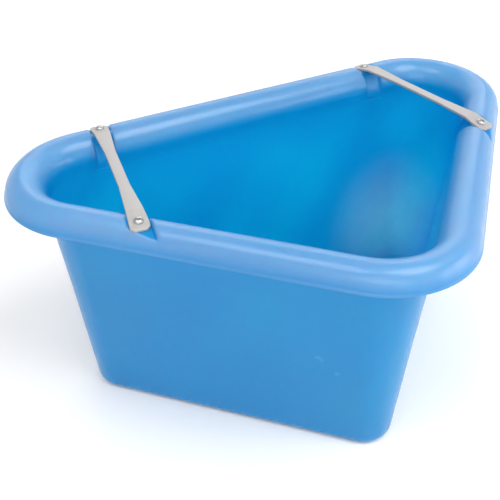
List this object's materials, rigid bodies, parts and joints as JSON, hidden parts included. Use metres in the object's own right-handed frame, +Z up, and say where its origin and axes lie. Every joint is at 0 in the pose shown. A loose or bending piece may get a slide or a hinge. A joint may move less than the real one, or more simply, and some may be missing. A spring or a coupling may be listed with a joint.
{
  "type": "corner feed manger",
  "caption": "Triangular plastic corner feed bucket with a rolled rim and flat metal anti-waste bars bolted across its front corners.",
  "frame": {"origin": "under the middle of the bounding box, in the plane the base stands on", "axes": "+X along the long front side, to the right as seen by the animal at the front; +Y from the long front side to the right-angled corner that goes into the corner of the stable; +Z up out of the open mouth"},
  "size_m": [0.6354, 0.4172, 0.3032],
  "materials": {
    "tub_plastic": "semi-gloss moulded polyethylene",
    "bar_steel": "dull galvanised",
    "fastener_steel": "bright zinc plated",
    "nylon": "natural nylon"
  },
  "bodies": {
    "root": {"tub": "tub_plastic", "bar_left": "bar_steel", "screw_left_front": "fastener_steel", "washer_left_front": "fastener_steel", "nut_left_front": "fastener_steel", "nylon_ring_left_front": "nylon", "screw_left_leg": "fastener_steel", "washer_left_leg": "fastener_steel", "nut_left_leg": "fastener_steel", "nylon_ring_left_leg": "nylon", "bar_right": "bar_steel", "screw_right_front": "fastener_steel", "washer_right_front": "fastener_steel", "nut_right_front": "fastener_steel", "nylon_ring_right_front": "nylon", "screw_right_leg": "fastener_steel", "washer_right_leg": "fastener_steel", "nut_right_leg": "fastener_steel", "nylon_ring_right_leg": "nylon"}
  },
  "joints": []
}
